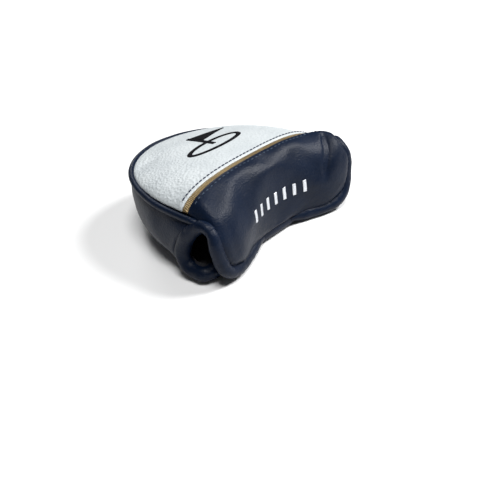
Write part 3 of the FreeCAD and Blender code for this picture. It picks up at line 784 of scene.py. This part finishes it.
layer("crown_leather", crown, LEATHER, 1, "cover", WHITE, ["crown_panel"], crown_top)
layer("strip_leather", strip, (0.5, 1.5), 1, "cover", GOLD, ["accent_strip"], tuck=0.5)
layer("front_leather", face, LEATHER, 1, "fold", NAVY, ["front_panel_top", "flap_panel"],
      face_top)
top_of_pouch = np.concatenate([crown, strip[1:-1], face[:POUCH_ROWS]])
layer("crown_padding", top_of_pouch, FOAM, 1, "cover", FOAM_CLOTH, ["crown_foam"])
layer("crown_plush", top_of_pouch, PLUSH, 1, "cover", PLUSH_CLOTH, ["crown_lining"],
      tuft=0.5)
layer("flap_padding", face[FLAP_ROW:-7, 7:-7], FOAM, 1, "fold", FOAM_CLOTH, ["flap_foam"])
layer("flap_plush", face[FLAP_ROW:], PLUSH, 1, "fold", PLUSH_CLOTH, ["flap_lining"],
      tuck=LIP, tuft=0.5)
for side_name, side in SIDES.items():
    wall = walls[side_name]
    layer("wall_leather_" + side_name, wall, LEATHER, side, "cover", NAVY, ["wall_panel_" + side_name],
          wall_tops[side_name])
    layer("wall_padding_" + side_name, wall[2:-6], FOAM, side, "cover", FOAM_CLOTH,
          ["wall_foam_" + side_name])
    layer("wall_plush_" + side_name, wall[2:-8], PLUSH, side, "cover", PLUSH_CLOTH,
          ["wall_lining_" + side_name], tuft=0.5)
    vertices, faces = tube_mesh(curve(beside_fold(MOUTH_BAND, side), 190), taper(190, 4.0, 5.4, 4.4),
                                up=(side, 0, 0), around=30, wrinkle=0.07, pleat=0.02, seed=3)
    add_mesh("mouth_band_" + side_name, vertices, faces, "cover", NAVY, ["mouth_binding_" + side_name])
    vertices, faces = tube_mesh(curve(beside_fold(FLAP_BAND, side), 150), taper(150, 3.8, 4.7, 3.2),
                                up=(side, 0, 0), around=30, wrinkle=0.07, pleat=0.02, seed=5)
    add_mesh("flap_band_" + side_name, vertices, faces, "fold", NAVY, ["flap_binding_" + side_name])
    vertices, faces = fuzzy_lip(curve(beside_fold(MOUTH_BAND, side), 220)[4:], side)
    add_mesh("mouth_fuzz_" + side_name, vertices, faces, "cover", PLUSH_CLOTH)
layer("underside_leather", underside, LEATHER, 1, "cover", NAVY, ["underside_panel", "recess_panel"])
layer("underside_padding", underside[3:, 3:-3], FOAM, 1, "cover", FOAM_CLOTH, ["underside_foam"])
layer("underside_plush", underside, PLUSH, 1, "cover", PLUSH_CLOTH, ["underside_lining"],
      tuck=LIP, tuft=0.5)
vertices, faces = tube_mesh(piping_path(), PIPE_RADIUS, around=18, wrinkle=0.03, seed=7)
add_mesh("piping_cover", vertices, faces, "cover", NAVY, ["crown_piping"])


# ------------------------------------------------------------------ tongue
TIP_ROUND = 8.0          # radius of the tongue's corners


def tongue_grid(columns=41, rows=101):
    """Grid over the tongue's outer leather, from the face's bottom edge round and under to the tip."""
    fold_y = TONGUE_FOLD[1]
    turn = curve([(0, fold_y + 3.4, FOLD[2] - 35.2), (0, fold_y + 2.7, TONGUE_FOLD[2] - 0.4),
                  (0, fold_y + 3.5, TONGUE_LOW + 1.9), (0, fold_y + 5.8, TONGUE_LOW + 0.3),
                  (0, fold_y + 10.0, TONGUE_LOW), (0, -30, TONGUE_LOW), (0, TONGUE_TIP, TONGUE_LOW)], rows)
    into_tip = np.clip((turn[:, 1] - (TONGUE_TIP - TIP_ROUND)) / TIP_ROUND, 0, 0.995)
    widths = TONGUE_HALF - TIP_ROUND * (1 - np.sqrt(1 - into_tip ** 2))
    us = np.linspace(-1, 1, columns)
    grid = np.repeat(turn[:, None, :], columns, axis=1)
    grid[..., 0] = us[None, :] * (widths[:, None] - 0.8)
    return grid


tongue = tongue_grid()
layer("tongue_leather", tongue, (0.0, 1.4), 1, "tongue_bend", NAVY, ["tongue_panel"],
      tuck=0.5)
flat_part = tongue[tongue[:, 0, 1] > TONGUE_FOLD[1] + 6.5]
facing = flat_part * np.array([0.97, 1, 1]) + np.array([0, 0, TONGUE_TOP - TONGUE_LOW])
layer("tongue_plush", facing[:-1], (0.0, 1.2), -1, "tongue", PLUSH_CLOTH, ["tongue_facing"],
      tuck=0.4, tuft=0.15)
stiffener = flat_part[1:-2] * np.array([0.96, 1, 1])
layer("tongue_board", stiffener, (1.5, 3.2), 1, "tongue", BOARD, ["tongue_stiffener"],
      tuck=0.2)


def tongue_rim():
    """Path of the bound edge that runs round the tongue between its two faces."""
    middle = (TONGUE_LOW + TONGUE_TOP) / 2
    left = flat_part[:, 0] + np.array([0, 0, middle - TONGUE_LOW])
    right = flat_part[:, -1] + np.array([0, 0, middle - TONGUE_LOW])
    return curve(np.concatenate([left[::4], right[::-1][::4]]), 160)


vertices, faces = tube_mesh(tongue_rim(), (TONGUE_TOP - TONGUE_LOW) / 2, around=14, wrinkle=0.03, seed=8)
add_mesh("tongue_edge", vertices, faces, "tongue", NAVY)


# ------------------------------------------------------------------ thread
def on_grid(grid, row, column):
    """Point and outward normal of a grid between its rows and columns."""
    rows, columns = grid.shape[:2]
    r = int(min(max(row, 0), rows - 2))
    c = int(min(max(column, 0), columns - 2))
    fr, fc = row - r, column - c
    top = grid[r, c] * (1 - fc) + grid[r, c + 1] * fc
    bottom = grid[r + 1, c] * (1 - fc) + grid[r + 1, c + 1] * fc
    normal = np.cross(bottom - top, (grid[r, c + 1] - grid[r, c]) + (grid[r + 1, c + 1] - grid[r + 1, c]))
    return top * (1 - fr) + bottom * fr, unit(normal)


def on_crown(x, y):
    """Point and outward normal on the crown's leather, wherever the simulation left it."""
    row = np.interp(y, crown[::-1, 0, 1], np.arange(len(crown))[::-1])
    share = x / (half_width(y) - CROWN_INSET)
    column = np.interp(share, US, np.arange(len(US)))
    return on_grid(crown_top, row, column)


def on_face(x, z):
    """Point and outward normal on the face's leather at that X and height."""
    rows = np.arange(40, 95)
    columns = [np.interp(x, face[r, :, 0], np.arange(len(US))) for r in rows]
    heights = [on_grid(face_top, r, c)[0][2] for r, c in zip(rows, columns)]
    row = np.interp(-z, -np.array(heights), rows)
    return on_grid(face_top, row, np.interp(row, rows, columns))


def stitch_row(spots, long=1.9, pitch=2.7, radius=0.27):
    """Separate stitches along a line of (point, normal), each dipping into the leather at its ends."""
    points = np.array([spot[0] for spot in spots])
    outs = np.array([spot[1] for spot in spots])
    along = lengths_along(points)
    parts = []
    for start in np.arange(pitch, along[-1] - pitch, pitch):
        at = start + long * np.linspace(0, 1, 7)
        middle = np.stack([np.interp(at, along, points[:, k]) for k in range(3)], axis=1)
        out = np.stack([np.interp(at, along, outs[:, k]) for k in range(3)], axis=1)
        arch = 0.30 * np.sin(np.linspace(0, math.pi, 7)) - 0.12
        parts.append(tube_mesh(middle + out * arch[:, None], radius, up=out[0], around=7))
    return joined(parts)


def satin(spots, widths, proud=0.55, across=9, thread=0.42):
    """Satin-stitch band along (point, normal) spots: a low rounded ridge ribbed by its threads."""
    points = np.array([spot[0] for spot in spots])
    outs = np.array([spot[1] for spot in spots])
    along = lengths_along(points)
    count = max(8, int(along[-1] / thread) * 2)
    at = np.linspace(0, along[-1], count)
    middle = np.stack([np.interp(at, along, points[:, k]) for k in range(3)], axis=1)
    out = unit(np.stack([np.interp(at, along, outs[:, k]) for k in range(3)], axis=1))
    sideways = unit(np.cross(unit(np.gradient(middle, axis=0)), out))
    width = np.interp(at, along, widths)
    reach = np.linspace(-1, 1, across)
    ridge = proud * np.sqrt(np.maximum(1 - np.abs(reach) ** 3, 0)) - 0.05
    rib = 1 - 0.16 * (np.arange(count) % 2)
    ragged = 1 + 0.05 * ((np.arange(count) // 2) % 3 - 1)
    outer = (
        middle[:, None, :]
        + sideways[:, None, :] * (reach[None, :] * (width * ragged)[:, None] / 2)[..., None]
        + out[:, None, :] * (ridge[None, :] * rib[:, None])[..., None]
    )
    inner = outer - out[:, None, :] * (0.35 + ridge[None, :] * rib[:, None])[..., None]
    return np.concatenate([outer.reshape(-1, 3), inner.reshape(-1, 3)]), slab_faces(count, across)


def row_across(y, on):
    """Spots across the cover at one Y."""
    reach = half_width(y) - 3.0
    return [on(x, y) for x in np.linspace(-reach, reach, 120)]


def on_front(x, y):
    """Point and outward normal on the face's leather just below the strip."""
    column = np.interp(x, face[6, :, 0], np.arange(len(US)))
    row = np.interp(-y, -face[:30, len(US) // 2, 1], np.arange(30))
    return on_grid(face_top, row, column)


vertices, faces = stitch_row(row_across(STRIP_REAR + 2.2, on_crown), long=2.2, pitch=3.3, radius=0.48)
add_mesh("crown_stitches", vertices, faces, "cover", NAVY_THREAD, ["crown_topstitch"])
vertices, faces = stitch_row(row_across(STRIP_FRONT - 3.0, on_front), long=1.7, pitch=3.8, radius=0.30)
add_mesh("front_stitches", vertices, faces, "cover", BLUE_THREAD, ["front_topstitch"])
for side_name, column in (("left", 4), ("right", len(US) - 5)):
    spots = [on_grid(face_top, row, column) for row in range(30, 100)]
    vertices, faces = stitch_row(spots, long=1.7, pitch=3.1, radius=0.2)
    add_mesh("lobe_stitches_" + side_name, vertices, faces, "fold", NAVY_THREAD)

EMBLEM = (low("crown_emblem"), high("crown_emblem"))
EMBLEM_LINE = 4.0
HOLE_LONG = -2 * EMBLEM[0][0]
HOLE_SHORT = 21.0
FLAG_DROP = 18.0         # the flag's height at its pole
FLAG_POINT = 1.8         # and at its point


def emblem_parts():
    """A golf flag on its pole over an oval hole."""
    hole_y = EMBLEM[0][1] + HOLE_SHORT / 2
    top_y = EMBLEM[1][1]
    turn = np.linspace(0, 2 * math.pi, 90)
    rim_x = (HOLE_LONG - EMBLEM_LINE) / 2 * np.cos(turn)
    rim_y = hole_y + (HOLE_SHORT - EMBLEM_LINE) / 2 * np.sin(turn)
    yield [on_crown(x, y) for x, y in zip(rim_x, rim_y)], (EMBLEM_LINE, EMBLEM_LINE)
    yield [on_crown(0, y) for y in np.linspace(hole_y, top_y, 30)], (EMBLEM_LINE, EMBLEM_LINE)
    flag_x = np.linspace(EMBLEM_LINE / 2, EMBLEM[1][0], 30)
    yield [on_crown(x, top_y - FLAG_DROP / 2) for x in flag_x], (FLAG_DROP, FLAG_POINT)


parts = [satin(spots, np.linspace(*ends, len(spots))) for spots, ends in emblem_parts()]
vertices, faces = joined(parts)
add_mesh("emblem_threads", vertices, faces, "cover", BLACK_THREAD, ["crown_emblem"])

MOTIF = (low("flap_motif"), high("flap_motif"))
BAR = 3.0
parts = []
for x in np.linspace(MOTIF[0][0] + BAR / 2, MOTIF[1][0] - BAR / 2, 7):
    spots = [on_face(x, z) for z in np.linspace(MOTIF[1][2], MOTIF[0][2], 16)]
    parts.append(satin(spots, np.full(len(spots), BAR)))
vertices, faces = joined(parts)
add_mesh("motif_threads", vertices, faces, "flap", SILVER_THREAD, ["flap_motif"])

# ------------------------------------------------------------------ rigid pieces shown as they are in CAD
magnet, _ = new_material("nickel_magnet", (0.62, 0.61, 0.60), 0.25, 0.5, 1.0)
for node in ("keeper_magnets", "tongue_magnets"):
    shown = frame["nodes"][node]
    shown.data.materials.clear()
    shown.data.materials.append(magnet)

# ------------------------------------------------------------------ camera, light and floor
VIEW_TARGET = Vector((0, 0, 36.05))
VIEW_AZIMUTH = math.radians(39.9)
VIEW_ELEVATION = math.radians(34.84)
VIEW_ROLL = math.radians(8.47)
VIEW_DISTANCE = 377.8
VIEW_SIDE = 17.25
VIEW_DOWN = 56.69


def add_camera():
    """Camera to the front left of the cover, above it and turned a little."""
    a, e, r = VIEW_AZIMUTH, VIEW_ELEVATION, VIEW_ROLL
    back = Vector((-math.sin(a) * math.cos(e), -math.cos(a) * math.cos(e), math.sin(e)))
    level = Vector((math.cos(a), -math.sin(a), 0))
    upright = back.cross(level)
    right = level * math.cos(r) - upright * math.sin(r)
    up = level * math.sin(r) + upright * math.cos(r)
    place = VIEW_TARGET + right * VIEW_SIDE - up * VIEW_DOWN + back * VIEW_DISTANCE
    data = bpy.data.cameras.new("camera")
    data.sensor_width = 36
    data.lens = 36
    data.clip_start = 0.01
    camera = bpy.data.objects.new("camera", data)
    turn = Matrix((right, up, back)).transposed().to_4x4()
    camera.matrix_world = Matrix.Translation(place * MM) @ turn
    bpy.context.scene.collection.objects.link(camera)
    bpy.context.scene.camera = camera


def add_area(name, place, aim, size, power):
    """A round light at a place, turned to a point; metres and watts."""
    data = bpy.data.lights.new(name, "AREA")
    data.shape = "DISK"
    data.size = size
    data.energy = power
    light = bpy.data.objects.new(name, data)
    light.location = place
    light.rotation_euler = (Vector(aim) - Vector(place)).to_track_quat("-Z", "Y").to_euler()
    bpy.context.scene.collection.objects.link(light)


def glow_far_off(material, shader, near, far, strength):
    """Makes a surface shine more and more between two distances from its own middle, in metres."""
    nodes = material.node_tree.nodes
    links = material.node_tree.links
    place = nodes.new("ShaderNodeTexCoord")
    distance = nodes.new("ShaderNodeVectorMath")
    distance.operation = "LENGTH"
    links.new(place.outputs["Object"], distance.inputs[0])
    fade = nodes.new("ShaderNodeMapRange")
    fade.interpolation_type = "SMOOTHSTEP"
    fade.inputs["From Min"].default_value = near
    fade.inputs["From Max"].default_value = far
    fade.inputs["To Max"].default_value = strength
    links.new(distance.outputs["Value"], fade.inputs["Value"])
    shader.inputs["Emission Color"].default_value = (1, 1, 1, 1)
    links.new(fade.outputs["Result"], shader.inputs["Emission Strength"])


def add_stage():
    """A pale floor just under the cover, a dim world and three lights; metres."""
    mesh = bpy.data.meshes.new("floor")
    mesh.from_pydata([(-3, -3, 0), (3, -3, 0), (3, 3, 0), (-3, 3, 0)], [], [(0, 1, 2, 3)])
    floor = bpy.data.objects.new("floor", mesh)
    floor.location.z = CAD_BOX[0][2] - 0.0005
    bpy.context.scene.collection.objects.link(floor)
    plain, shader = new_material("floor", (0.80, 0.80, 0.80), rough=0.9, gloss=0.1)
    glow_far_off(plain, shader, near=0.25, far=1.2, strength=1.0)
    floor.data.materials.append(plain)
    world = bpy.data.worlds.new("studio")
    world.use_nodes = True
    world.node_tree.nodes["Background"].inputs["Color"].default_value = (0.95, 0.98, 1, 1)
    world.node_tree.nodes["Background"].inputs["Strength"].default_value = 0.08
    bpy.context.scene.world = world
    add_area("key", (-0.12, -0.30, 0.95), aim=(0, 0, 0.03), size=0.40, power=8.5)
    add_area("sheen", (0.60, -0.52, 0.78), aim=(0, -0.03, 0.04), size=0.34, power=15)
    add_area("rim", (0.35, 0.75, 0.70), aim=(0, 0, 0.03), size=0.40, power=3)


add_camera()
add_stage()
bpy.context.scene.view_settings.view_transform = "Standard"
